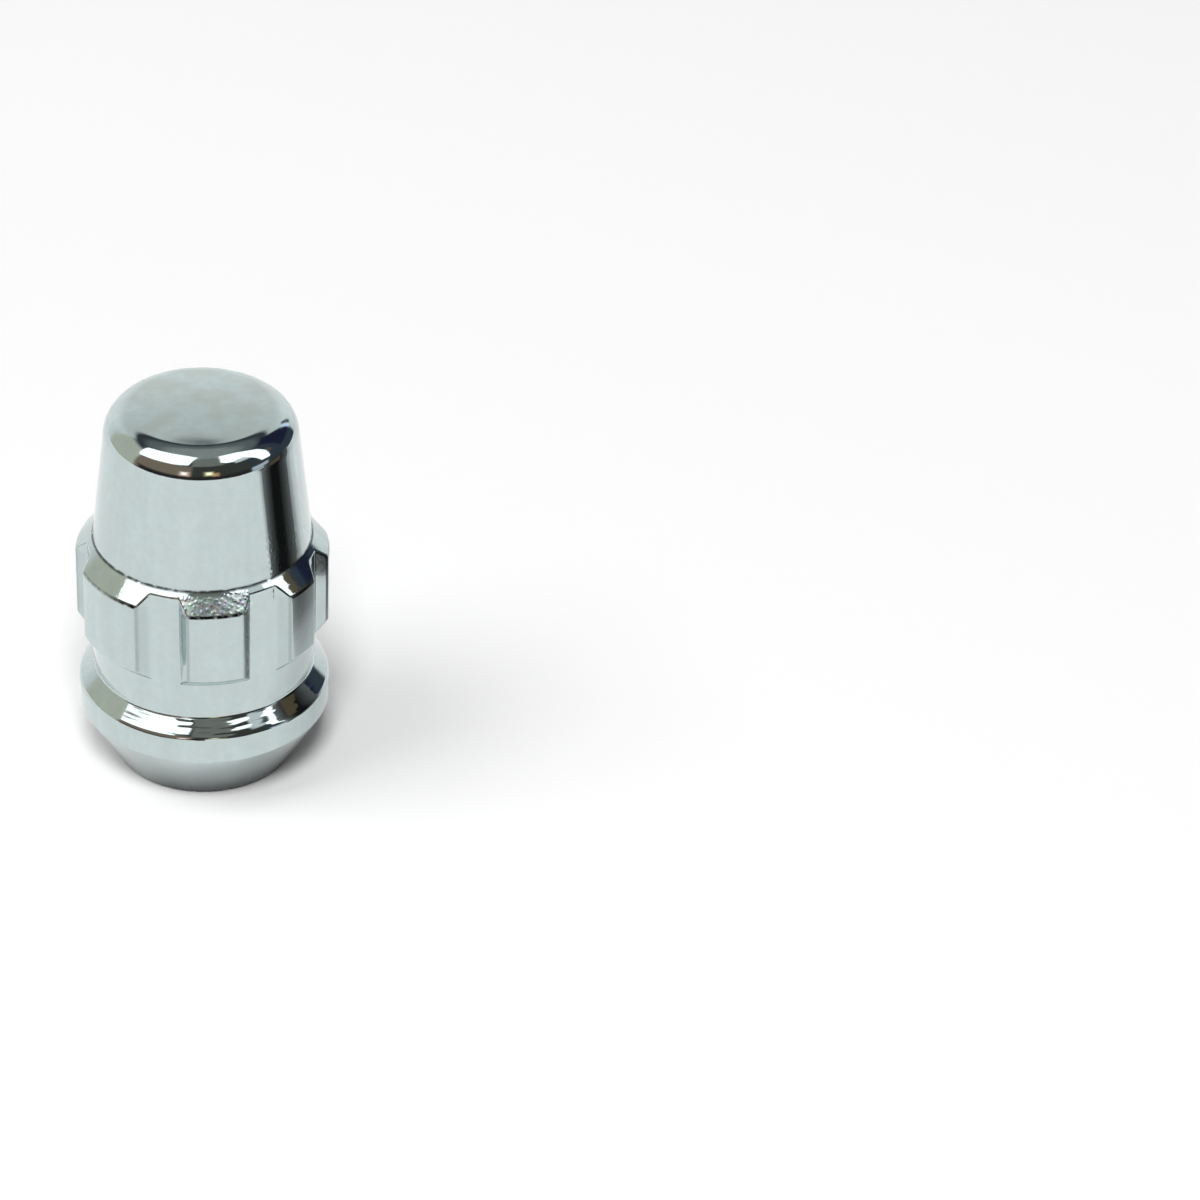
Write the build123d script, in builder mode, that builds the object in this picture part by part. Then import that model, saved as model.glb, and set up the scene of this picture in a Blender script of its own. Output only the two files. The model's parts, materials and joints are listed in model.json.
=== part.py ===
"""Locking wheel nut: one chrome-plated forging with a tapped blind hole, standing on its conical seat.

The nut is turned about Z and stands on the plane Z = 0.  From the ground up it has a flat foot round
the mouth of the thread, a conical seat, a rim, a shoulder, a neck that widens to the groove floors,
a band of lands cut by unevenly spaced key grooves, a second shoulder and a tapered cap.  Millimetres
and degrees.
"""
import os
from math import hypot, radians, sqrt, tan

from build123d import *

# Foot and conical seat
foot_diameter = 16.3
foot_chamfer = 0.35
seat_angle = 60.0
rim_diameter = 23.0
rim_length = 2.49
rim_top_round = 0.9

# Shoulder above the rim, and the neck, which is measured where it starts and widens to the groove floors
rim_shoulder_slope = 47.5
neck_diameter = 20.16
neck_length = 3.83

# Band of lands
land_diameter = 23.0
land_length = 7.0
land_low_slope = 45.0
land_top_round = 0.65

# Key grooves: bearing of each one, counted from the front (-Y) towards +X, and its width at the lands
narrow_groove = 3.95
wide_groove = 4.85
grooves = [
    (-80.0, narrow_groove),
    (-19.5, wide_groove),
    (30.4, wide_groove),
    (70.5, narrow_groove),
    (113.5, wide_groove),
    (168.0, narrow_groove),
    (229.0, wide_groove),
]
groove_depth = 1.075
groove_floor_round = 0.3
groove_flank_angle = 51.0

# Broken edges along the sides of the lands: how far down the flank they start, and their angle
edge_break_depth = 0.2
edge_break_angle = 74.0

# Upper shoulder and cap
cap_shoulder_slope = 47.5
cap_base_diameter = 19.8
cap_taper = 5.9
cap_round = 2.8
overall_height = 37.0

# Blind tapped hole, an M12 x 1.5 thread drawn at its minor diameter
thread_minor_diameter = 10.376
mouth_diameter = 12.8
mouth_angle = 90.0
hole_depth = 27.0
drill_point_angle = 118.0

# Radii
foot_r = foot_diameter / 2
rim_r = rim_diameter / 2
neck_r = neck_diameter / 2
land_r = land_diameter / 2
floor_r = land_r - groove_depth
cap_base_r = cap_base_diameter / 2
hole_r = thread_minor_diameter / 2
mouth_r = mouth_diameter / 2


def rise(radius_change, slope):
    """Height of a conical face that changes radius at this slope from the horizontal."""
    return radius_change * tan(radians(slope))


# Heights of the profile's corners, from the ground up
seat_top = rise(rim_r - foot_r, 90 - seat_angle / 2)
rim_top = seat_top + rim_length
neck_low = rim_top + rise(rim_r - neck_r, rim_shoulder_slope)
neck_top = neck_low + neck_length
land_low = neck_top + rise(land_r - floor_r, land_low_slope)
land_top = land_low + land_length
cap_base = land_top + rise(land_r - cap_base_r, cap_shoulder_slope)
cap_top_r = cap_base_r - rise(overall_height - cap_base, cap_taper)
mouth_depth = rise(mouth_r - hole_r, 90 - mouth_angle / 2)
hole_tip = hole_depth + rise(hole_r, 90 - drill_point_angle / 2)

# Corners of the turned form, each with the radius that rounds it
corners = [
    ((foot_r - foot_chamfer, 0), 0),
    ((foot_r + rise(foot_chamfer, seat_angle / 2), foot_chamfer), 0),
    ((rim_r, seat_top), 0),
    ((rim_r, rim_top), rim_top_round),
    ((neck_r, neck_low), 0),
    ((floor_r, neck_top), 0),
    ((land_r, land_low), 0),
    ((land_r, land_top), land_top_round),
    ((cap_base_r, cap_base), 0),
    ((cap_top_r, overall_height), cap_round),
]

# The groove cutters reach from a little under the groove floors to well outside the lands
cutter_start = floor_r - groove_floor_round
cutter_depth = 2 * groove_depth


def groove_cutter(bearing, start, start_width, flank_angle):
    """Sketch a trapezoid with its narrow side at the start radius and flanks that spread outwards."""
    end_width = start_width + 2 * rise(cutter_depth, flank_angle)
    with PolarLocations(start, 1, start_angle=bearing - 90):
        Trapezoid(end_width, cutter_depth, 90 - flank_angle, rotation=90, align=(Align.CENTER, Align.MAX))


with BuildPart() as nut:
    # Turned form, with the lands still a full ring
    with BuildSketch(Plane.XZ):
        with BuildLine():
            FilletPolyline(
                (0, 0),
                [point for point, _ in corners],
                (0, overall_height),
                radius=[radius for _, radius in corners],
            )
            Line((0, overall_height), (0, 0))
        make_face()
    revolve(axis=Axis.Z)

    # Key grooves, cut through the lands and out of the shoulder above them
    with BuildSketch(Plane.XY.offset(neck_top)) as groove_section:
        for bearing, width in grooves:
            corner_x = sqrt(land_r**2 - (width / 2) ** 2)
            start_width = width - 2 * rise(corner_x - cutter_start, groove_flank_angle)
            groove_cutter(bearing, cutter_start, start_width, groove_flank_angle)
            break_start = corner_x - edge_break_depth
            break_width = width - 2 * rise(edge_break_depth, groove_flank_angle)
            groove_cutter(bearing, break_start, break_width, edge_break_angle)
        Circle(floor_r, mode=Mode.SUBTRACT)
        floor_corners = groove_section.vertices().filter_by(
            lambda corner: abs(hypot(corner.X, corner.Y) - floor_r) < groove_floor_round / 10
        )
        fillet(floor_corners, groove_floor_round)
    extrude(amount=cap_base - neck_top, mode=Mode.SUBTRACT)

    # Blind tapped hole from below, with its lead-in and drill point
    with BuildSketch(Plane.XZ):
        with BuildLine():
            Polyline(
                (0, 0),
                (mouth_r, 0),
                (hole_r, mouth_depth),
                (hole_r, hole_depth),
                (0, hole_tip),
                close=True,
            )
        make_face()
    revolve(axis=Axis.Z, mode=Mode.SUBTRACT)

nut.part.label = "locking_wheel_nut"

os.makedirs("parts", exist_ok=True)
export_step(nut.part, "parts/locking_wheel_nut.step")
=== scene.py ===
"""Looks of the locking wheel nut: a chrome-plated forging on a pale floor in a small photo studio.

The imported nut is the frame.  It is replaced by a finer mesh of the same form, whose edges are all
rounded and whose hole carries a real thread.  Sizes are in millimetres up to the mesh, which is in metres.
"""
import json
from math import atan2, cos, degrees, pi, radians, sin, sqrt, tan

import bpy
import numpy as np
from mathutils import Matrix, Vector


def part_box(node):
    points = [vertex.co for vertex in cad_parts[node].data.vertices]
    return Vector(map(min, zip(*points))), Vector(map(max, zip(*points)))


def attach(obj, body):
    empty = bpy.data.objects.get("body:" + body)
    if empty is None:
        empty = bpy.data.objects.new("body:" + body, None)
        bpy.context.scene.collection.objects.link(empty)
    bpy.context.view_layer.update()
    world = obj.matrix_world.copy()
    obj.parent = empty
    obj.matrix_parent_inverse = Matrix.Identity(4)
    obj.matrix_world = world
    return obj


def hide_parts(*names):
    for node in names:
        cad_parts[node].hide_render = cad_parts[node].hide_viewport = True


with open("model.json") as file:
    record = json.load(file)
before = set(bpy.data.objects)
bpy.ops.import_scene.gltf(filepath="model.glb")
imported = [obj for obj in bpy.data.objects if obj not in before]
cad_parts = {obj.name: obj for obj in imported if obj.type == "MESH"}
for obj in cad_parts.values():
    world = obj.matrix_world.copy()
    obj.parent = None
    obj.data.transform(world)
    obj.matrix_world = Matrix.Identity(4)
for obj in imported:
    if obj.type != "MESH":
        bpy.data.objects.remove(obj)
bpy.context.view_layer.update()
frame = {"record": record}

MM = 0.001

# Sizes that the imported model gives
_, node_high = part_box("locking_wheel_nut")
land_r = node_high.x / MM
overall_height = node_high.z / MM
mounts = {mount["name"]: mount for mount in frame["record"]["mounts"]}
minor_r = mounts["thread"]["dims"]["r_mm"]
bore_length = mounts["thread"]["dims"]["length_mm"]

# Foot, seat, rim and neck
foot_r = 8.15
foot_round = 0.4
seat_angle = 60.0
rim_r = land_r
rim_length = 2.49
rim_low_round = 0.35
rim_top_round = 0.9
rim_shoulder_slope = 47.5
neck_r = 10.08
neck_round = 0.4
neck_length = 3.83
neck_top_round = 0.15

# Lands, grooves and cap
land_length = 7.0
land_low_slope = 45.0
land_low_round = 0.45
land_top_round = 0.65
narrow_groove = 3.95
wide_groove = 4.85
grooves = [
    (-80.0, narrow_groove),
    (-19.5, wide_groove),
    (30.4, wide_groove),
    (70.5, narrow_groove),
    (113.5, wide_groove),
    (168.0, narrow_groove),
    (229.0, wide_groove),
]
groove_depth = 1.075
groove_flank_angle = 51.0
groove_floor_blend = 0.1
land_edge_blend = 0.26
cap_shoulder_slope = 47.5
cap_base_r = 9.9
cap_base_round = 0.15
cap_foot = 0.45
cap_taper = 5.9
cap_round = 2.8
crown_slope = 6.5
crown_flat_r = 3.1
crown_round = 48.0

# Reach of a groove's formula: degrees to each side, mm below the top of the neck, and its least divisor
groove_reach = 30.0
groove_margin = 1.0
least_narrowing = 0.3

# Tapped hole: an M12 x 1.5 thread, right-handed, whose root is sunk a little into the wall
thread_pitch = 1.5
thread_flank_angle = 30.0
thread_major_r = 6.0
thread_root = 0.05
thread_start = 1.4
thread_end = 22.3
thread_steps = 60
mouth_r = 6.4
mouth_round = 0.1
tapped_length = 23.5
tap_runout = 0.8
tap_round = 0.1
hole_end_round = 0.2
drill_point_angle = 118.0

# Fineness of the mesh: degrees of an arc, mm along the profile, and degrees round the nut
arc_step = 6.0
least_arc_steps = 4
coarse_run = 1.2
fine_run = 0.075
coarse_bearing = 2.0
fine_bearing = 0.45
fine_past_floor = 1.5
fine_past_land = 2.0
floor_narrowing = 1.1
least_column_gap = 1.2

# Marks in the plate, in mm; the turning lines are coarser than real ones, so that they show
mottle_size = 0.6
streak_width = 1.1
ripple_size = 3.5
ripple_depth = 0.012
pit_spacing = 1.6
pit_reach = 0.2
pit_edge = 0.08
pit_depth = 0.03
blister_spacing = 0.34
blister_height = 0.02
tint_size = 0.5
bloom_size = 2.2
turning_pitch = 0.4
turning_depth = 0.075

# Share of the cells that have a pit, where in its cell a blister starts and is full, and the factors on
# X, Y and Z that draw a pattern out
pit_share = 0.3
blister_foot = 0.55
blister_top = 0.1
streak_stretch = (1, 1, 0.04)
turning_stretch = (0.1, 0.1, 1)

# Roughness of the clean plate, and what the dark marks, the painted shade and the blisters add to it
chrome_blur = (0.035, 0.085)
dark_and_shaded_blur = 0.25
blister_blur = 0.22

# Where the marks gather: bearing, and how far from it they fade out and are full
dark_edge_front = (0, 50, 35)
blistered_front = (6, 26, 12)
blistered_right = (52, 22, 10)
turned_front = (10, 30, 14)

# Sideways part of the normal where a face begins to face right, left or aside, and where it fully does
facing_right = (0.6, 0.9)
facing_left = (0.3, 0.6)
facing_aside = (0.15, 0.5)

# How strong the marks and the painted shade are, from 0 to 1
# Dark lines along the tops of the lands and in the corner under the cap
least_edge_darkness = 0.45
corner_darkness = 0.85
# Painted shade on the flanks, the seat and the foot; the side edge strength is a dark line along the land
# edges
flank_shade = 0.08
right_flank_shade = 0.7
side_edge_darkness = 0.3
seat_shade = 0.1
seat_side_shade = 0.2
foot_shade = 0.9
foot_left_gleam = 0.3
least_blisters = 0.12
cap_blisters = 0.22
least_turning = 0.15
least_pitting = 0.25

# Marks in the cut steel, in mm, with the tool marks coarser than real ones, and its roughness
tool_mark = 0.12
tool_mark_depth = 0.006
oil_patch = 2.5
steel_blur = (0.36, 0.24)

# Studio, in metres and degrees: azimuth from the front (-Y) towards +X.  The air is white to look at and
# gives this much light, and the paper is lit near the nut and plain white further out
air_light = 0.19
floor_reach = 6.0
floor_gap = 0.00002
lit_radius = 0.25
white_radius = 0.6
lamp_distance = 2.0
# Lamps that light the floor: name, azimuth, elevation, watts, size
lamps = [
    ("left_softbox", -76.0, 54.0, 15.5, 1.1),
    ("front_fill", -3.0, 58.0, 26.5, 0.6),
]
dome_radius = 0.7
dome_step = 1.5
# Skirt of the dome, on the floor: its lowest elevation, the height that it is seen from, and its lift
skirt_low = -7.5
skirt_height = 0.034
skirt_lift = 0.0002
least_dip = 0.1
zenith_colour = (0.33, 0.35, 0.34)
# Zones of the dome: name, azimuth from and to, elevation from and to, feather, linear colour
studio_zones = [
    ("dim ceiling", -400, 400, -60, 68, 12, (0.15, 0.165, 0.17)),
    ("dark edge of the ceiling", -400, 400, -60, 56, 8, (0.05, 0.06, 0.07)),
    ("left wall", -138, -76, -60, 46, 8, (0.63, 0.63, 0.54)),
    ("paper rising behind", 128, 236, -60, 47.5, 4, (0.72, 0.75, 0.74)),
    ("paper low behind", 135, 229, -60, 30, 30, (1.0, 1.02, 1.02)),
    ("room at front left", -80, -10, -60, 43, 5, (0.27, 0.205, 0.16)),
    ("room at front", -12, 55, -60, 50, 5, (0.06, 0.06, 0.055)),
    ("gap over the camera", -14, 30, 44, 72, 5, (0.24, 0.24, 0.22)),
    ("foot of the room", -74, 55, -60, 8, 8, (0.03, 0.03, 0.028)),
    ("edge of the right softbox", 45, 66, 40, 52, 3, (0.82, 0.84, 0.86)),
    ("dark side", 84, 132, -60, 47, 4, (0.045, 0.06, 0.08)),
    ("night window", 104, 131, 16, 54, 4, (0.018, 0.022, 0.05)),
    ("bright slit", 131, 135, 12, 30, 2, (0.9, 1.0, 1.35)),
    ("frame of the slit", 136, 140, 12, 30, 2, (0.08, 0.08, 0.12)),
    ("brown box", 86, 95, 26, 36, 3, (0.14, 0.11, 0.07)),
    ("low window", 57, 78, -6, 8, 3, (0.62, 0.66, 0.78)),
    ("rosy wall", -25, -14, 9, 24, 5, (1.0, 0.60, 0.48)),
    ("lit doorway", -23, -17, 13, 22, 4, (2.0, 1.8, 1.7)),
    ("warm wall", 12, 19, 8, 20, 4, (0.75, 0.40, 0.2)),
    ("lamp shade", 3, 13, 11, 25, 5, (0.9, 0.72, 0.35)),
    ("warm lamp", 5, 11, 15, 23, 4, (2.2, 2.0, 1.5)),
]
softbox_glow = (2.0, 2.0, 2.0)
softbox_radius = 0.99 * dome_radius
# Faces of the softboxes: azimuth and elevation of their corners
softboxes = {
    "left_softbox_face": [
        (-102, 56), (-87, 38), (-83, 32), (-64, 38), (-36, 43), (-18, 47), (-11, 76), (-60, 77),
    ],
    "right_softbox_face": [
        (28, 53), (34, 48), (44, 46), (52, 49), (62, 49), (70, 30),
        (72, 17), (84, 14), (88, 34), (90, 50), (82, 68), (45, 74),
    ],
}
# Black flag to the right: a dark sheet on the floor that pales to its sides and towards the nut, its greys
# towards the nut a painted shadow on the floor, and a standing one across it.  Bearing and grey of the
# columns, then distance, grey and turn of the rows
flag_columns = [
    (59, 1.0), (62, 0.7), (65, 0.2), (70, 0.08), (76, 0.01), (86, 0.01),
    (94, 0.07), (102, 0.15), (108, 0.45), (115, 0.8), (126, 1.0),
]
flag_rows = [
    (0.023, 1.0, 14), (0.028, 0.65, 14), (0.033, 0.45, 14), (0.036, 0.22, 14), (0.040, 0.12, 14),
    (0.050, 0.0, 8), (0.20, 0.0, 0),
]
# The turn is none from the end bearing on, and full at this span before it
flag_turn_end = 94
flag_turn_span = 35
flag_stand = 0.0405
flag_top = 0.033
flag_stand_columns = slice(2, 8)
# Brown card on the flag: bearing from and to, height from and to, distance, linear colour
brown_card = (73, 88, 0.025, 0.032, 0.0398, (0.11, 0.085, 0.052))

# Camera, fitted to the nut's rims and edges in the photograph
camera_place = (0.0, -0.333654, 0.244268)
camera_turn = (55.6637, -2.2868, -4.6758)
camera_lens = 132.0
camera_sensor = 36.0
camera_near = 0.01


def rise(radius_change, slope):
    """Height of a conical face that changes radius at this slope from the horizontal."""
    return radius_change * tan(radians(slope))


# Heights from the ground up
floor_r = land_r - groove_depth
seat_top = rise(rim_r - foot_r, 90 - seat_angle / 2)
rim_top = seat_top + rim_length
neck_low = rim_top + rise(rim_r - neck_r, rim_shoulder_slope)
neck_top = neck_low + neck_length
land_low = neck_top + rise(land_r - floor_r, land_low_slope)
land_top = land_low + land_length
cap_base = land_top + rise(land_r - cap_base_r, cap_shoulder_slope)
cap_top_r = cap_base_r - rise(overall_height - cap_base, cap_taper)
crown_edge = overall_height - rise(cap_top_r - crown_flat_r, crown_slope)
mouth_depth = mouth_r - minor_r
hole_depth = mouth_depth + bore_length
hole_tip = hole_depth + rise(minor_r, 90 - drill_point_angle / 2)

# Corners of half the section, from the tip of the hole down and out, then up to the middle of the crown:
# radius, height, rounding, and the spacing of points on the run that follows
hole_corners = [
    (0, hole_tip, 0, coarse_run),
    (minor_r, hole_depth, hole_end_round, coarse_run),
    (minor_r, tapped_length, tap_round, coarse_run),
    (thread_major_r, tapped_length - tap_runout, tap_round, coarse_run),
    (thread_major_r, mouth_r - thread_major_r, tap_round, coarse_run),
]
outer_corners = [
    (mouth_r, 0, mouth_round, coarse_run),
    (foot_r, 0, foot_round, coarse_run),
    (rim_r, seat_top, rim_low_round, coarse_run),
    (rim_r, rim_top, rim_top_round, coarse_run),
    (neck_r, neck_low, neck_round, coarse_run),
    (floor_r, neck_top, neck_top_round, fine_run),
    (land_r, land_low, land_low_round, coarse_run),
    (land_r, land_top, land_top_round, fine_run),
    (cap_base_r, cap_base, cap_base_round, fine_run),
    (cap_base_r - rise(cap_foot, cap_taper), cap_base + cap_foot, 0, coarse_run),
    (cap_top_r, crown_edge, cap_round, coarse_run),
    (crown_flat_r, overall_height, crown_round, coarse_run),
    (0, overall_height, 0, coarse_run),
]

# Heights between which the marks lie: where each starts, is full, is still full, and ends
dark_corner = (cap_base - 0.2, cap_base - 0.05, cap_base + 0.05, cap_base + 0.2)
blistered_shoulder = (land_top - 0.3, land_top + 0.1, cap_base - 0.5, cap_base - 0.1)
blistered_cap = (cap_base, cap_base + 0.5, cap_base + 2.5, cap_base + 5.5)
turned_shoulder = (rim_top - 0.2, rim_top + 0.2, neck_low - 0.2, neck_low + 0.1)
pitted_band = (land_low, land_top, cap_base, cap_base + 3)
worn_crown = (overall_height - 0.8, overall_height - 0.3)
# Upward part of the profile's outward direction where the tops of the lands carry a dark line, and its
# reach
dark_edge_lean = (0.06, 0.2, 0.52, 0.64)
dark_edge_reach = 1.0
# The seat is where the profile's outward direction has less of an upward part than this
seat_lean = 0.1
# Radii between which the painted shade on the sides of the lands fades in
flank_radii = (floor_r + 0.05, floor_r + 0.3)


def rounded_profile(corners):
    """Points (radius, height) along the corners with true arcs, and the outward direction at each."""
    points, normals = [], []

    def add(point, normal):
        points.append(point)
        normals.append(normal)

    start = np.array(corners[0][:2], float)
    for index, (radius, height, rounding, _) in enumerate(corners[1:], 1):
        corner = np.array((radius, height), float)
        before = (corner - start) / np.linalg.norm(corner - start)
        out_before = np.array((before[1], -before[0]))
        run_step = corners[index - 1][3]
        if rounding:
            after = np.array(corners[index + 1][:2], float) - corner
            after /= np.linalg.norm(after)
            turn = atan2(before[0] * after[1] - before[1] * after[0], before @ after)
            end = corner - before * rounding * tan(abs(turn) / 2)
        else:
            end = corner
        steps = max(1, round(np.linalg.norm(end - start) / run_step))
        first = 0 if index == 1 else 1
        for step in range(first, steps + 1):
            add(start + (end - start) * step / steps, out_before)
        if rounding:
            centre = end - out_before * rounding * np.sign(turn)
            arc_steps = max(least_arc_steps, round(degrees(abs(turn)) / arc_step))
            for step in range(1, arc_steps + 1):
                angle = turn * step / arc_steps
                turned = np.array((
                    out_before[0] * cos(angle) - out_before[1] * sin(angle),
                    out_before[0] * sin(angle) + out_before[1] * cos(angle),
                ))
                add(centre + turned * rounding * np.sign(turn), turned)
            start = points[-1]
        else:
            start = end
    return np.array(points), np.array(normals)


def smooth_min(a, b, width):
    """Smaller of two values with the corner between them rounded, and the share that a has in it."""
    share = np.clip(0.5 + 0.5 * (b - a) / width, 0, 1)
    return b + (a - b) * share - width * share * (1 - share), share


def angle_from(bearing, bearings):
    """Signed angle in degrees from one bearing to others, the short way round."""
    return (bearings - bearing + 180) % 360 - 180


def groove_radius(bearings):
    """Radius that the key grooves leave at these bearings: floors, sloping flanks, nothing on the lands."""
    left = np.full(bearings.shape, 2 * land_r)
    spread = tan(radians(groove_flank_angle))
    for bearing, width in grooves:
        offset = np.radians(angle_from(bearing, bearings))
        corner_x = sqrt(land_r**2 - (width / 2) ** 2)
        narrowing = np.maximum(spread * np.cos(offset) - np.abs(np.sin(offset)), least_narrowing)
        flank = (spread * corner_x - width / 2) / narrowing
        cut, _ = smooth_min(-flank, -floor_r, groove_floor_blend)
        left = np.where(np.abs(offset) < radians(groove_reach), np.minimum(left, -cut), left)
    return left


def banded_radius(profile_r, bearings):
    """Radius of the form at these bearings, and the share that the turned profile has in it."""
    groove_r = groove_radius(bearings)
    above_floor = np.clip((groove_r - floor_r) / land_edge_blend, 0, 1)
    blend = groove_floor_blend + (land_edge_blend - groove_floor_blend) * above_floor
    return smooth_min(profile_r, groove_r, blend)


def column_bearings():
    """Bearings of the mesh's columns, close together on the flanks of the grooves."""
    zones = []
    for bearing, width in grooves:
        land_edge = degrees(np.arcsin(width / 2 / land_r))
        floor_edge = degrees(np.arcsin((width / 2 - groove_depth * floor_narrowing) / floor_r))
        near_side, far_side = floor_edge - fine_past_floor, land_edge + fine_past_land
        zones += [(bearing + near_side, bearing + far_side), (bearing - far_side, bearing - near_side)]
    fine = np.concatenate([np.arange(low, high, fine_bearing) for low, high in zones]) % 360
    coarse = np.arange(0, 360, coarse_bearing)
    gaps = np.abs(angle_from(fine[None, :], coarse[:, None])).min(axis=1)
    return np.sort(np.concatenate([fine, coarse[gaps > least_column_gap]]))


def ramp(value, low, high):
    """Smooth step from 0 at low to 1 at high."""
    t = np.clip((value - low) / (high - low), 0, 1)
    return t * t * (3 - 2 * t)


def band(value, low, low_full, high_full, high):
    """Rise from 0 at low to 1 at low_full, and fall from 1 at high_full to 0 at high."""
    return ramp(value, low, low_full) * ramp(-value, -high, -high_full)


def gathered(bearings, place, least=0.0):
    """Strength of a mark round the nut, 1 at its place and falling to the least, as one row."""
    bearing, fades_out, is_full = place
    away = np.abs(angle_from(bearing, bearings))
    return (least + (1 - least) * ramp(-away, -fades_out, -is_full))[None, :]


def surface_marks(points, normal, share, outward, bearings):
    """Dark lines, painted shade, blisters, turning lines, pits and wear at each surface point, from 0 to 1.
    """
    radius = np.hypot(points[..., 0], points[..., 1])
    height = points[..., 2]
    to_right = normal[..., 0]
    lean = np.broadcast_to(outward[:, 1:], height.shape)
    # Dark line along the tops of the lands, strongest at the front, and in the corner under the cap
    top_edge = band(lean, *dark_edge_lean) * (np.abs(height - land_top) < dark_edge_reach) * share
    dark_top_edge = gathered(bearings, dark_edge_front, least_edge_darkness) * top_edge
    grime = np.maximum(dark_top_edge, corner_darkness * band(height, *dark_corner))
    # Painted shade on the sides of the lands, darkest where they face right, and a dark line along their
    # edges
    flank = (1 - share) * ramp(radius, *flank_radii) * (height < land_top)
    flank *= flank_shade + right_flank_shade * ramp(to_right, *facing_right)
    side_edge = 4 * share * (1 - share) * (height > land_low) * (height < land_top)
    # Painted shade on the seat, darker at its sides and down to the foot, less so on its left
    seat = np.clip(1 - height / seat_top, 0, 1) * (radius > mouth_r + mouth_round) * (lean < seat_lean)
    at_rim = np.where(seat > 0, seat_shade + seat_side_shade * ramp(np.abs(to_right), *facing_aside), 0)
    at_foot = foot_shade - foot_left_gleam * ramp(-to_right, *facing_left)
    dull = np.maximum(flank, at_rim * (1 - seat) + at_foot * seat)
    dull = np.maximum(dull, side_edge_darkness * side_edge)
    # Blisters on the upper shoulder at the front and low on the right of the cap, and turning lines on
    # the shoulder of the rim
    on_shoulder = np.maximum(gathered(bearings, blistered_front), least_blisters)
    on_cap = cap_blisters * gathered(bearings, blistered_right)
    return {
        "grime": grime,
        "dull": dull,
        "blisters": np.maximum(
            band(height, *blistered_shoulder) * on_shoulder, band(height, *blistered_cap) * on_cap
        ),
        "turned": band(height, *turned_shoulder) * gathered(bearings, turned_front, least_turning),
        "pitting": np.maximum(band(height, *pitted_band), least_pitting),
        "worn": ramp(height, *worn_crown),
    }


def nut_grid(profile, outward, bearings):
    """Points of the nut, a row for each profile point and a column for each bearing, with their outward
    normals and the share that the turned profile has in them."""
    angle = np.radians(bearings)
    profile_r = profile[:, :1]
    # Only rows above the last one that is well below the band can have grooves
    low_rows = profile[::-1, 1] < neck_top - groove_margin
    outside = (np.arange(len(profile)) >= len(profile) - 1 - np.argmax(low_rows))[:, None]
    radius, share = banded_radius(profile_r, bearings[None, :])
    radius = np.where(outside, radius, profile_r)
    share = np.where(outside, share, 1.0)
    nudge = 1e-3
    ahead = banded_radius(profile_r, bearings[None, :] + nudge)[0]
    behind = banded_radius(profile_r, bearings[None, :] - nudge)[0]
    radius_by_angle = np.where(outside, (ahead - behind) / radians(2 * nudge), 0)
    # Direction of travel along the profile is the outward direction turned a quarter
    along_r = -outward[:, 1:] * share
    along_z = np.broadcast_to(outward[:, :1], share.shape)
    sine, cosine = np.sin(angle)[None, :], np.cos(angle)[None, :]
    height = np.broadcast_to(profile[:, 1:], radius.shape)
    around = np.stack([
        radius_by_angle * sine + radius * cosine,
        -radius_by_angle * cosine + radius * sine,
        np.zeros(radius.shape),
    ], axis=-1)
    along = np.stack([along_r * sine, -along_r * cosine, along_z], axis=-1)
    normal = np.cross(around, along)
    normal /= np.maximum(np.linalg.norm(normal, axis=-1, keepdims=True), 1e-12)
    points = np.stack([radius * sine, -radius * cosine, height], axis=-1)
    return points, normal, share


def nut_surface():
    """Vertices in mm, outward normals, faces, finish of each face (1 in the hole) and marks of the nut."""
    profile, outward = rounded_profile(hole_corners + outer_corners)
    bearings = column_bearings()
    points, normal, share = nut_grid(profile, outward, bearings)
    # The first and last rows shrink to one point each, the tip of the hole and the middle of the crown
    rows, columns = share.shape
    inner = slice(1, rows - 1)
    vertices = np.concatenate([points[inner].reshape(-1, 3), points[:1, 0], points[-1:, 0]])
    normals = np.concatenate([normal[inner].reshape(-1, 3), [[0, 0, -1]], [[0, 0, 1]]])
    tip, crown = len(vertices) - 2, len(vertices) - 1
    hole_rows = np.argmax(profile[:, 1] <= mouth_r - thread_major_r)
    faces, finishes = [], []
    for column in range(columns):
        after = (column + 1) % columns
        faces.append((tip, after, column))
        for row in range(rows - 3):
            low, high = row * columns, (row + 1) * columns
            faces.append((low + column, low + after, high + after, high + column))
        last = (rows - 3) * columns
        faces.append((last + column, last + after, crown))
        finishes += [1] + [int(row < hole_rows - 2) for row in range(rows - 3)] + [0]
    marks = {
        name: np.concatenate([values[inner].ravel(), np.zeros(2)])
        for name, values in surface_marks(points, normal, share, outward, bearings).items()
    }
    return vertices, normals, faces, finishes, marks


def linear(hex_colour):
    """Linear RGBA of an sRGB hex colour."""
    channels = [int(hex_colour[i:i + 2], 16) / 255 for i in (1, 3, 5)]
    return [c / 12.92 if c <= 0.04045 else ((c + 0.055) / 1.055) ** 2.4 for c in channels] + [1.0]


def add_node(tree, kind, settings=None, **inputs):
    """Add a node, set its properties, and set or link its inputs, named with _ for a space."""
    node = tree.nodes.new(kind)
    for name, value in (settings or {}).items():
        setattr(node, name, value)
    for name, value in inputs.items():
        socket = node.inputs[int(name[1:])] if name[1:].isdigit() else node.inputs[name.replace("_", " ")]
        if isinstance(value, bpy.types.NodeSocket):
            tree.links.new(value, socket)
        else:
            socket.default_value = value
    return node


def new_material(name):
    """An empty node material and its tree."""
    material = bpy.data.materials.new(name)
    material.use_nodes = True
    material.node_tree.nodes.clear()
    return material, material.node_tree


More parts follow.
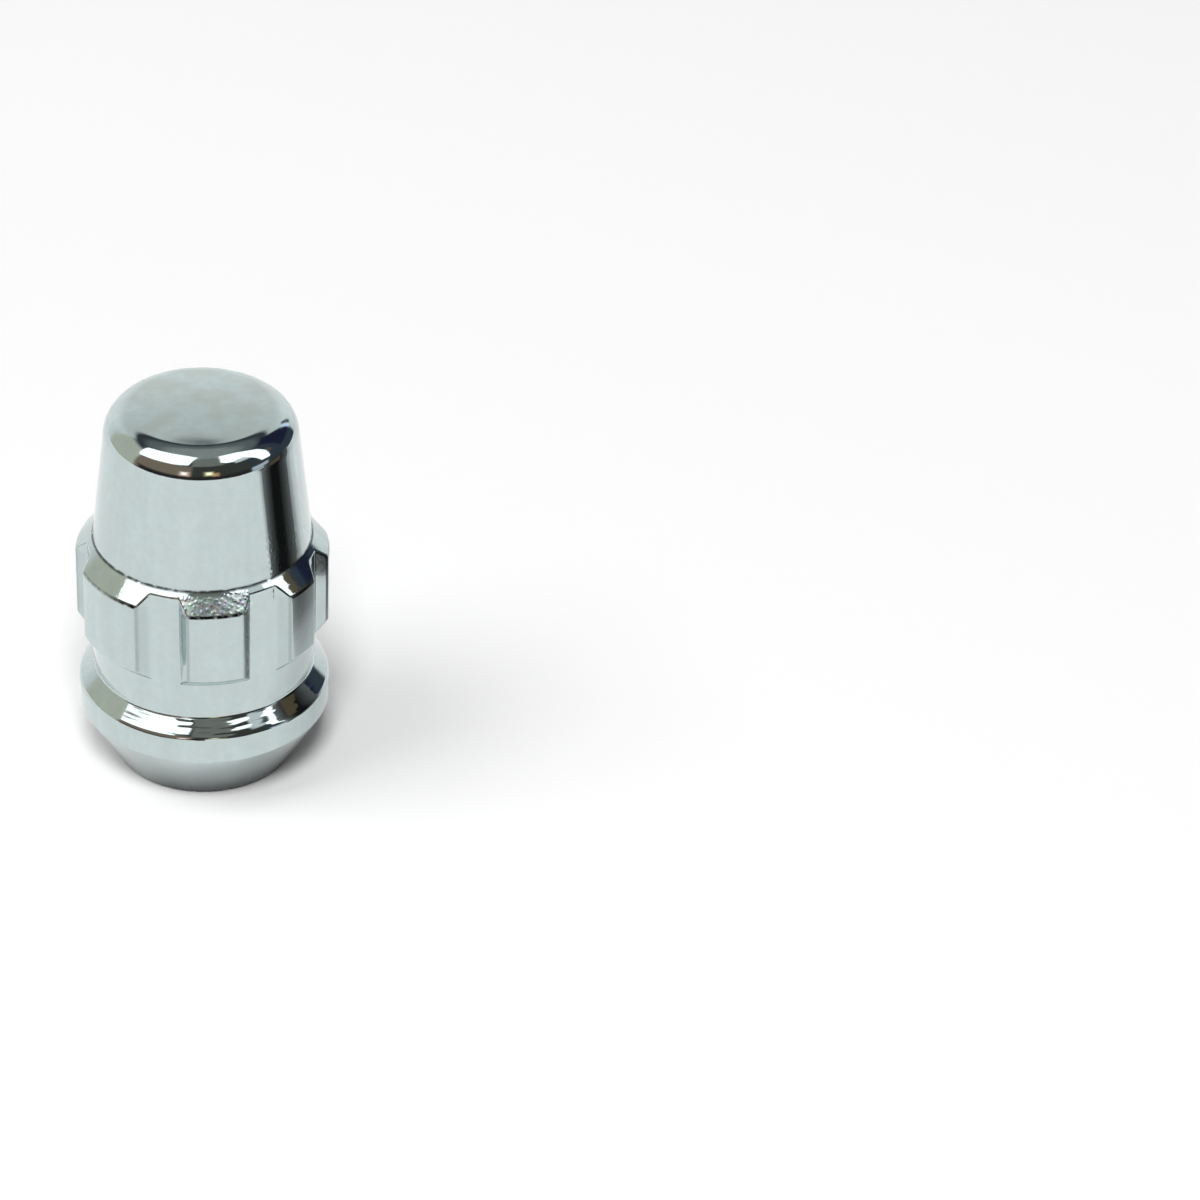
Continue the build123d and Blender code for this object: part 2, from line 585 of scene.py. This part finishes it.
def chrome_plate():
    """Bright chrome on a forging: a cool mirror with a slow ripple, faint draw streaks, scattered pits,
    small blisters and turning lines that glint, dark lines along some edges, and painted shade on the
    flanks and down the seat to the foot."""
    material, tree = new_material("bright chrome plate")
    place = add_node(tree, "ShaderNodeTexCoord").outputs["Object"]
    grime, dull, blistered, turned, pitted, worn = (
        add_node(tree, "ShaderNodeAttribute", {"attribute_name": name}).outputs["Fac"]
        for name in ("grime", "dull", "blisters", "turned", "pitting", "worn")
    )

    # Marks in the plate
    mottle = add_node(tree, "ShaderNodeTexNoise", Vector=place, Scale=1 / (mottle_size * MM), Detail=3.0)
    stretched = add_node(tree, "ShaderNodeVectorMath", {"operation": "MULTIPLY"},
                         _0=place, _1=streak_stretch)
    streaks = add_node(tree, "ShaderNodeTexNoise", Vector=stretched.outputs[0],
                       Scale=1 / (streak_width * MM), Detail=2.0)
    cells = add_node(tree, "ShaderNodeTexVoronoi", Vector=place, Scale=1 / (pit_spacing * MM))
    kept = add_node(tree, "ShaderNodeSeparateColor", Color=cells.outputs["Color"])
    reach = add_node(tree, "ShaderNodeMapRange", Value=kept.outputs["Red"],
                     From_Min=1 - pit_share, From_Max=1.0, To_Min=0.0, To_Max=pit_reach / pit_spacing)
    reach = add_node(tree, "ShaderNodeMath", {"operation": "MULTIPLY"}, _0=reach.outputs[0], _1=pitted)
    pits = add_node(tree, "ShaderNodeMath", {"operation": "SUBTRACT"},
                    _0=reach.outputs[0], _1=cells.outputs["Distance"])
    pits = add_node(tree, "ShaderNodeMapRange", {"interpolation_type": "SMOOTHSTEP"},
                    Value=pits.outputs[0], From_Min=0.0, From_Max=pit_edge / pit_spacing)
    bubbles = add_node(tree, "ShaderNodeTexVoronoi", {"feature": "SMOOTH_F1"},
                       Vector=place, Scale=1 / (blister_spacing * MM))
    bubbles = add_node(tree, "ShaderNodeMapRange", {"interpolation_type": "SMOOTHSTEP"},
                       Value=bubbles.outputs["Distance"], From_Min=blister_foot, From_Max=blister_top)

    # Colour: clean plate, streaked, hazy on the crown, tinted on the blisters, and dark in pits, in the
    # dark lines and where shade is painted
    tone = add_node(tree, "ShaderNodeMath", {"operation": "ADD"},
                    _0=mottle.outputs[0], _1=streaks.outputs[0])
    tone = add_node(tree, "ShaderNodeMapRange", Value=tone.outputs[0], From_Min=0.7, From_Max=1.3)
    clean = add_node(tree, "ShaderNodeMix", {"data_type": "RGBA"}, Factor=tone.outputs[0],
                     A=linear("#BBC9C9"), B=linear("#C4D1D1"))
    broken = add_node(tree, "ShaderNodeMapRange", Value=mottle.outputs[0], From_Min=0.3, From_Max=0.5)
    broken_dark_lines = add_node(tree, "ShaderNodeMath", {"operation": "MULTIPLY"}, _0=grime, _1=broken.outputs[0])
    dark_marks_and_shade = add_node(tree, "ShaderNodeMath", {"operation": "MAXIMUM"},
                    _0=broken_dark_lines.outputs[0], _1=pits.outputs[0])
    # The painted shade on the flanks and the seat joins the pits and dark lines here
    dark_marks_and_shade = add_node(tree, "ShaderNodeMath", {"operation": "MAXIMUM"}, _0=dark_marks_and_shade.outputs[0], _1=dull)
    bloom = add_node(tree, "ShaderNodeTexNoise", Vector=place, Scale=1 / (bloom_size * MM), Detail=2.0)
    bloom = add_node(tree, "ShaderNodeMapRange", Value=bloom.outputs[0], From_Min=0.35, From_Max=0.65)
    hazy = add_node(tree, "ShaderNodeMapRange", Value=worn, To_Min=0.3, To_Max=1.0)
    hazy = add_node(tree, "ShaderNodeMath", {"operation": "MULTIPLY"},
                    _0=bloom.outputs[0], _1=hazy.outputs[0])
    clean = add_node(tree, "ShaderNodeMix", {"data_type": "RGBA"}, Factor=hazy.outputs[0],
                     A=clean.outputs["Result"], B=linear("#BAC2BE"))
    rough = add_node(tree, "ShaderNodeMapRange", Value=blistered, From_Min=0.4, From_Max=1.0)
    tints = add_node(tree, "ShaderNodeTexNoise", Vector=place, Scale=1 / (tint_size * MM), Detail=1.0)
    tints = add_node(tree, "ShaderNodeHueSaturation",
                     Saturation=0.4, Value=2.0, Color=tints.outputs["Color"])
    clean = add_node(tree, "ShaderNodeMix", {"data_type": "RGBA", "blend_type": "MULTIPLY"},
                     Factor=rough.outputs[0], A=clean.outputs["Result"], B=tints.outputs["Color"])
    colour = add_node(tree, "ShaderNodeMix", {"data_type": "RGBA"}, Factor=dark_marks_and_shade.outputs[0],
                      A=clean.outputs["Result"], B=linear("#15191A"))

    # Gloss and relief
    blur = add_node(tree, "ShaderNodeMapRange", Value=mottle.outputs[0],
                    From_Min=0.3, From_Max=0.7, To_Min=chrome_blur[0], To_Max=chrome_blur[1])
    blur = add_node(tree, "ShaderNodeMath", {"operation": "MULTIPLY_ADD"},
                    _0=dark_marks_and_shade.outputs[0], _1=dark_and_shaded_blur, _2=blur.outputs[0])
    blur = add_node(tree, "ShaderNodeMath", {"operation": "MULTIPLY_ADD"},
                    _0=rough.outputs[0], _1=blister_blur, _2=blur.outputs[0])
    ripple = add_node(tree, "ShaderNodeTexNoise", Vector=place, Scale=1 / (ripple_size * MM), Detail=1.0)
    bump = add_node(tree, "ShaderNodeBump", Height=ripple.outputs[0], Strength=1.0,
                    Distance=ripple_depth * MM)
    bump = add_node(tree, "ShaderNodeBump", {"invert": True}, Height=pits.outputs[0], Strength=1.0,
                    Distance=pit_depth * MM, Normal=bump.outputs[0])
    bubbles = add_node(tree, "ShaderNodeMath", {"operation": "MULTIPLY"},
                       _0=bubbles.outputs[0], _1=blistered)
    bump = add_node(tree, "ShaderNodeBump", Height=bubbles.outputs[0], Strength=1.0,
                    Distance=blister_height * MM, Normal=bump.outputs[0])
    level = add_node(tree, "ShaderNodeVectorMath", {"operation": "MULTIPLY"},
                     _0=place, _1=turning_stretch)
    lines = add_node(tree, "ShaderNodeTexNoise", Vector=level.outputs[0],
                     Scale=1 / (turning_pitch * MM), Detail=1.0)
    lines = add_node(tree, "ShaderNodeMath", {"operation": "MULTIPLY"}, _0=lines.outputs[0], _1=turned)
    bump = add_node(tree, "ShaderNodeBump", Height=lines.outputs[0], Strength=1.0,
                    Distance=turning_depth * MM, Normal=bump.outputs[0])
    shader = add_node(tree, "ShaderNodeBsdfPrincipled", Base_Color=colour.outputs["Result"], Metallic=1.0,
                      Roughness=blur.outputs[0], Normal=bump.outputs[0])
    add_node(tree, "ShaderNodeOutputMaterial", Surface=shader.outputs["BSDF"])
    return material


def machined_steel():
    """Cut steel in the tapped hole: grey and satin with fine turning lines, under a film of dark oil."""
    material, tree = new_material("machined steel")
    place = add_node(tree, "ShaderNodeTexCoord").outputs["Object"]
    level = add_node(tree, "ShaderNodeVectorMath", {"operation": "MULTIPLY"},
                     _0=place, _1=turning_stretch)
    lines = add_node(tree, "ShaderNodeTexNoise", Vector=level.outputs[0],
                     Scale=1 / (tool_mark * MM), Detail=2.0)
    oil = add_node(tree, "ShaderNodeTexNoise", Vector=place, Scale=1 / (oil_patch * MM), Detail=3.0)
    film = add_node(tree, "ShaderNodeMapRange", Value=oil.outputs[0], From_Min=0.35, From_Max=0.65)
    colour = add_node(tree, "ShaderNodeMix", {"data_type": "RGBA"}, Factor=film.outputs[0],
                      A=linear("#A3A5A4"), B=linear("#77746C"))
    blur = add_node(tree, "ShaderNodeMapRange", Value=film.outputs[0],
                    To_Min=steel_blur[0], To_Max=steel_blur[1])
    bump = add_node(tree, "ShaderNodeBump", Height=lines.outputs[0], Strength=1.0,
                    Distance=tool_mark_depth * MM)
    shader = add_node(tree, "ShaderNodeBsdfPrincipled", Base_Color=colour.outputs["Result"], Metallic=1.0,
                      Roughness=blur.outputs[0], Normal=bump.outputs[0])
    add_node(tree, "ShaderNodeOutputMaterial", Surface=shader.outputs["BSDF"])
    return material


def thread_tree(material):
    """Geometry Nodes tree of an internal thread: a ridge swept along a right-hand helix."""
    tree = bpy.data.node_groups.new("internal thread", "GeometryNodeTree")
    for name in ("Length", "Turns", "Radius", "Depth", "Root Width", "Crest Width"):
        tree.interface.new_socket(name, in_out="INPUT", socket_type="NodeSocketFloat")
    tree.interface.new_socket("Geometry", in_out="OUTPUT", socket_type="NodeSocketGeometry")
    sizes = tree.nodes.new("NodeGroupInput").outputs
    helix = add_node(tree, "GeometryNodeCurveSpiral", Resolution=thread_steps, Rotations=sizes["Turns"],
                     Start_Radius=sizes["Radius"], End_Radius=sizes["Radius"],
                     Height=sizes["Length"], Reverse=True)
    upright = add_node(tree, "GeometryNodeSetCurveNormal", {"mode": "Z_UP"}, Curve=helix.outputs[0])
    ridge = add_node(tree, "GeometryNodeCurvePrimitiveQuadrilateral", {"mode": "TRAPEZOID"},
                     Height=sizes["Depth"], Bottom_Width=sizes["Root Width"],
                     Top_Width=sizes["Crest Width"], Offset=0.0)
    ridge = add_node(tree, "GeometryNodeTransform", Geometry=ridge.outputs[0], Rotation=(0, 0, pi / 2))
    swept = add_node(tree, "GeometryNodeCurveToMesh", Curve=upright.outputs[0],
                     Profile_Curve=ridge.outputs[0], Fill_Caps=True)
    real = add_node(tree, "GeometryNodeRealizeInstances", Geometry=swept.outputs[0])
    finish = add_node(tree, "GeometryNodeSetMaterial", Geometry=real.outputs[0], Material=material)
    add_node(tree, "NodeGroupOutput", Geometry=finish.outputs[0])
    return tree


def thread_mesh(material):
    """Plain mesh of the thread, in metres, with its start at the height 0."""
    root_r = thread_major_r + thread_root
    flank_run = tan(radians(thread_flank_angle))
    crest_width = thread_pitch / 4
    sizes = {
        "Length": (thread_end - thread_start) * MM,
        "Turns": (thread_end - thread_start) / thread_pitch,
        "Radius": (root_r + minor_r) / 2 * MM,
        "Depth": (root_r - minor_r) * MM,
        "Root Width": (crest_width + 2 * flank_run * (root_r - minor_r)) * MM,
        "Crest Width": crest_width * MM,
    }
    thing = bpy.data.objects.new("thread", bpy.data.meshes.new("thread"))
    bpy.context.scene.collection.objects.link(thing)
    modifier = thing.modifiers.new("thread", "NODES")
    modifier.node_group = thread_tree(material)
    for item in modifier.node_group.interface.items_tree:
        if item.in_out == "INPUT":
            modifier[item.identifier] = sizes[item.name]
    made = bpy.data.meshes.new_from_object(thing.evaluated_get(bpy.context.evaluated_depsgraph_get()))
    bpy.data.objects.remove(thing)
    return made


def plated_nut():
    """The nut with its thread as one piece: plate outside, cut steel in the hole."""
    steel = machined_steel()
    thread = thread_mesh(steel)
    thread_points = [vertex.co + Vector((0, 0, thread_start * MM)) for vertex in thread.vertices]
    vertices, normals, faces, finishes, marks = nut_surface()
    thread_faces = [tuple(len(vertices) + corner for corner in face.vertices) for face in thread.polygons]
    mesh = bpy.data.meshes.new("plated_nut")
    mesh.from_pydata([tuple(v) for v in vertices * MM] + thread_points, [], faces + thread_faces)
    mesh.materials.append(chrome_plate())
    mesh.materials.append(steel)
    mesh.polygons.foreach_set("material_index", finishes + [1] * len(thread_faces))
    # The thread has flat faces and no marks; zero normals keep its own
    mesh.polygons.foreach_set("use_smooth", [True] * len(faces) + [False] * len(thread_faces))
    own_normals = [(0, 0, 0)] * len(thread_points)
    mesh.normals_split_custom_set_from_vertices([tuple(n) for n in normals] + own_normals)
    for name, values in marks.items():
        every = np.concatenate([values, np.zeros(len(thread_points))])
        mesh.attributes.new(name, "FLOAT", "POINT").data.foreach_set("value", every.astype(np.float32))
    nut = bpy.data.objects.new("plated_nut", mesh)
    bpy.context.scene.collection.objects.link(nut)
    return nut


def studio_air():
    """World that looks white to the camera and in the chrome, and gives only a little light."""
    world = bpy.data.worlds.new("studio air")
    bpy.context.scene.world = world
    world.use_nodes = True
    tree = world.node_tree
    tree.nodes.clear()
    path = add_node(tree, "ShaderNodeLightPath")
    seen = add_node(tree, "ShaderNodeMath", {"operation": "MAXIMUM"},
                    _0=path.outputs["Is Camera Ray"], _1=path.outputs["Is Glossy Ray"])
    seen = add_node(tree, "ShaderNodeMath", {"operation": "MAXIMUM"},
                    _0=seen.outputs[0], _1=path.outputs["Is Transmission Ray"])
    strength = add_node(tree, "ShaderNodeMapRange", Value=seen.outputs[0], To_Min=air_light, To_Max=1.0)
    background = add_node(tree, "ShaderNodeBackground", Color=(1, 1, 1, 1), Strength=strength.outputs[0])
    add_node(tree, "ShaderNodeOutputWorld", Surface=background.outputs[0])


def stage_mesh(name, points, faces, material):
    """A floor, card or dome that isn't part of the object."""
    made = bpy.data.meshes.new(name)
    made.from_pydata(points, [], faces)
    made.materials.append(material)
    thing = bpy.data.objects.new(name, made)
    bpy.context.scene.collection.objects.link(thing)
    return thing


def paper_sweep():
    """White paper: matt, and past the lit middle as white as the background."""
    material, tree = new_material("white paper sweep")
    place = add_node(tree, "ShaderNodeTexCoord")
    distance = add_node(tree, "ShaderNodeVectorMath", {"operation": "LENGTH"},
                        _0=place.outputs["Object"])
    far = add_node(tree, "ShaderNodeMapRange", {"interpolation_type": "SMOOTHSTEP"},
                   Value=distance.outputs["Value"], From_Min=lit_radius, From_Max=white_radius)
    paper = add_node(tree, "ShaderNodeBsdfDiffuse", Color=linear("#FDFDFD"))
    glow = add_node(tree, "ShaderNodeEmission", Color=(1, 1, 1, 1), Strength=1.0)
    mix = add_node(tree, "ShaderNodeMixShader",
                   _0=far.outputs[0], _1=paper.outputs[0], _2=glow.outputs[0])
    add_node(tree, "ShaderNodeOutputMaterial", Surface=mix.outputs[0])
    return material


def reflected_only(thing):
    """Let a card or dome show in the chrome and nowhere else."""
    thing.visible_camera = False
    thing.visible_diffuse = False
    thing.visible_shadow = False
    thing.visible_transmission = False


def glowing_card(name, points, faces, colours):
    """Stage mesh that shines with a linear colour at each point, seen only in the chrome."""
    material, tree = new_material(name)
    tint = add_node(tree, "ShaderNodeAttribute", {"attribute_name": "glow"})
    glow = add_node(tree, "ShaderNodeEmission", Color=tint.outputs["Color"], Strength=1.0)
    add_node(tree, "ShaderNodeOutputMaterial", Surface=glow.outputs[0])
    card = stage_mesh(name, [tuple(point) for point in points], faces, material)
    shine = card.data.attributes.new("glow", "FLOAT_COLOR", "POINT")
    rgba = np.concatenate([colours, np.ones((len(points), 1))], axis=1)
    shine.data.foreach_set("color", rgba.astype(np.float32).ravel())
    reflected_only(card)


def direction(azimuth, elevation):
    """Unit vector towards this azimuth and elevation."""
    a, e = np.broadcast_arrays(np.radians(azimuth), np.radians(elevation))
    return np.stack([np.cos(e) * np.sin(a), -np.cos(e) * np.cos(a), np.sin(e)], axis=-1)


def studio_dome():
    """Half sphere with a skirt on the floor, whose inside is the studio as the zones give it."""
    az, el = np.meshgrid(np.arange(0, 360, dome_step), np.arange(skirt_low, 90, dome_step))
    colour = np.ones(az.shape + (3,)) * np.array(zenith_colour)
    for _, left, right, low, high, feather, tint in studio_zones:
        sideways = (right - left) / 2 - np.abs(angle_from((left + right) / 2, az))
        inside = np.minimum(sideways, np.minimum(el - low, high - el))
        mask = ramp(inside, -feather / 2, feather / 2)[..., None]
        colour = colour * (1 - mask) + np.array(tint) * mask
    points = dome_radius * direction(az, el)
    dip = np.radians(np.maximum(-el, least_dip))
    reach = np.minimum(skirt_height / np.tan(dip), dome_radius)[..., None]
    skirt = direction(az, 0) * reach + np.array((0, 0, skirt_lift))
    points = np.where((el < 0)[..., None], skirt, points)
    rows, columns = az.shape
    faces = []
    for row in range(rows - 1):
        for column in range(columns):
            after = (column + 1) % columns
            low, high = row * columns, (row + 1) * columns
            faces.append((low + column, high + column, high + after, low + after))
    faces.append(tuple((rows - 1) * columns + column for column in range(columns)))
    glowing_card("studio_dome", points.reshape(-1, 3), faces, colour.reshape(-1, 3))


def grey_sheet(name, points, grey):
    """Glowing grid in greys, from rows of points."""
    rows, columns = grey.shape
    faces = []
    for row in range(rows - 1):
        for column in range(columns - 1):
            corner = row * columns + column
            faces.append((corner, corner + 1, corner + columns + 1, corner + columns))
    glowing_card(name, points.reshape(-1, 3), faces, np.repeat(grey.reshape(-1, 1), 3, axis=1))


def black_flag_and_floor_shadow():
    """Dark sheet on the floor to the right of the nut, greyed towards the nut as a painted shadow on the
    floor, and a standing sheet across it.
    """
    columns, rows = np.array(flag_columns), np.array(flag_rows)
    lift = np.array((0, 0, 2 * skirt_lift))
    turn_share = np.clip((flag_turn_end - columns[:, :1]) / flag_turn_span, 0, 1)
    floor_points = direction(columns[:, :1] + rows[:, 2] * turn_share, 0) * rows[:, :1] + lift
    # The rows' greys towards the nut paint the shadow on the floor there, seen only in the chrome
    grey_sheet("flag_on_floor", floor_points, 1 - (1 - columns[:, 1:]) * (1 - rows[:, 1]))
    standing = columns[flag_stand_columns]
    foot = direction(standing[:, 0], 0) * flag_stand
    wall_points = np.stack([foot, foot + np.array((0, 0, flag_top))], axis=1)
    grey_sheet("standing_flag", wall_points, np.repeat(standing[:, 1:], 2, axis=1))


def card_on_flag():
    """Small brown card in front of the standing sheet."""
    left, right, low, high, distance, colour = brown_card
    bearings, heights = np.array((left, right, right, left)), np.array((low, low, high, high))
    card_points = direction(bearings, 0) * distance + heights[:, None] * np.array((0, 0, 1))
    glowing_card("brown_card", card_points, [(0, 1, 2, 3)], np.tile(colour, (4, 1)))


def softbox_lamp(name, azimuth, elevation, power, size):
    """Area lamp that lights the floor from this direction, itself out of the reflections."""
    lamp = bpy.data.objects.new(name, bpy.data.lights.new(name, "AREA"))
    lamp.data.size = size
    lamp.data.energy = power
    place = Vector(direction(azimuth, elevation)) * lamp_distance
    lamp.location = place
    lamp.rotation_euler = (-place).to_track_quat("-Z", "Y").to_euler()
    lamp.visible_glossy = False
    lamp.visible_camera = False
    bpy.context.scene.collection.objects.link(lamp)


# The nut
nut = plated_nut()
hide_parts("locking_wheel_nut")
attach(nut, "root")

# Stage
studio_air()
floor_corners = [(x * floor_reach, y * floor_reach, 0) for x, y in ((-1, -1), (1, -1), (1, 1), (-1, 1))]
floor = stage_mesh("floor", floor_corners, [(0, 1, 2, 3)], paper_sweep())
floor.location.z = -floor_gap
studio_dome()
for name, corners in softboxes.items():
    corner_points = [softbox_radius * direction(*corner) for corner in corners]
    glow = np.tile(softbox_glow, (len(corners), 1))
    glowing_card(name, corner_points, [tuple(range(len(corners)))], glow)
black_flag_and_floor_shadow()
card_on_flag()
for lamp in lamps:
    softbox_lamp(*lamp)

camera = bpy.data.objects.new("camera", bpy.data.cameras.new("camera"))
camera.data.lens = camera_lens
camera.data.sensor_width = camera_sensor
camera.data.clip_start = camera_near
camera.location = camera_place
camera.rotation_euler = [radians(turn) for turn in camera_turn]
bpy.context.scene.collection.objects.link(camera)
bpy.context.scene.camera = camera
bpy.context.scene.view_settings.view_transform = "Standard"
